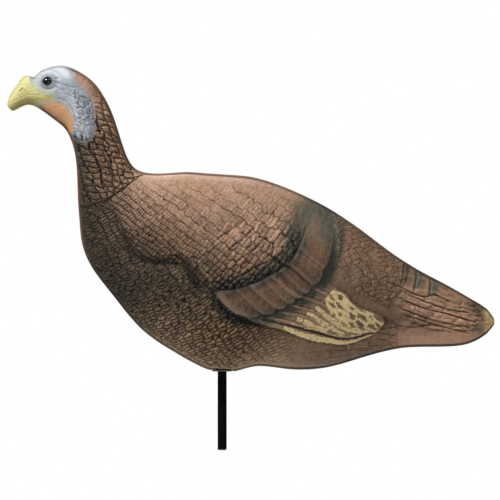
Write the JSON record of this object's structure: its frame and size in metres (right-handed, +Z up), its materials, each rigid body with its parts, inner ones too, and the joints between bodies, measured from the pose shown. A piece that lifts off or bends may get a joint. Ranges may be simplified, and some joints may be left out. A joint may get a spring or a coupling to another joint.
{
  "type": "turkey decoy",
  "caption": "Hen turkey decoy of two moulded foam half shells that turns on a black telescoping ground stake and lifts off it.",
  "frame": {"origin": "centre of the stake tube's lower end, on the stake's axis", "axes": "+Z up along the stake; the bird faces -X with its tail towards +X; its left side is -Y; the two shells meet in the plane Y = 0"},
  "size_m": [0.684, 0.1686, 0.5394],
  "materials": {
    "painted_foam": "matte",
    "eye_glass": "gloss",
    "black_plastic": "satin",
    "white_nylon": "satin",
    "black_tube": "satin",
    "bare_steel": "satin"
  },
  "bodies": {
    "stake": {"stake_tube": "black_tube", "tube_cap": "black_plastic", "foot_bush": "black_plastic"},
    "ground_rod": {"ground_rod": "bare_steel", "rod_stop": "bare_steel"},
    "pivot": {"pivot_cup": "white_nylon"},
    "decoy": {"left_shell": "painted_foam", "right_shell": "painted_foam", "left_eye": "eye_glass", "right_eye": "eye_glass", "left_eye_washer": "white_nylon", "right_eye_washer": "white_nylon", "belly_grommet": "black_plastic", "grommet_washer": "black_plastic", "back_saddle": "black_plastic"}
  },
  "joints": [
    {"name": "rod_draw", "type": "slide", "parent": "stake", "child": "ground_rod", "axis": [0, 0, -1], "range_m": [0, 0.18]},
    {"name": "lift_off", "type": "slide", "parent": "stake", "child": "pivot", "axis": [0, 0, 1], "range_m": [0, 0.3]},
    {"name": "swivel", "type": "hinge", "parent": "pivot", "child": "decoy", "pos_m": [0, 0, 0.37], "axis": [0, 0, 1], "continuous": true}
  ]
}
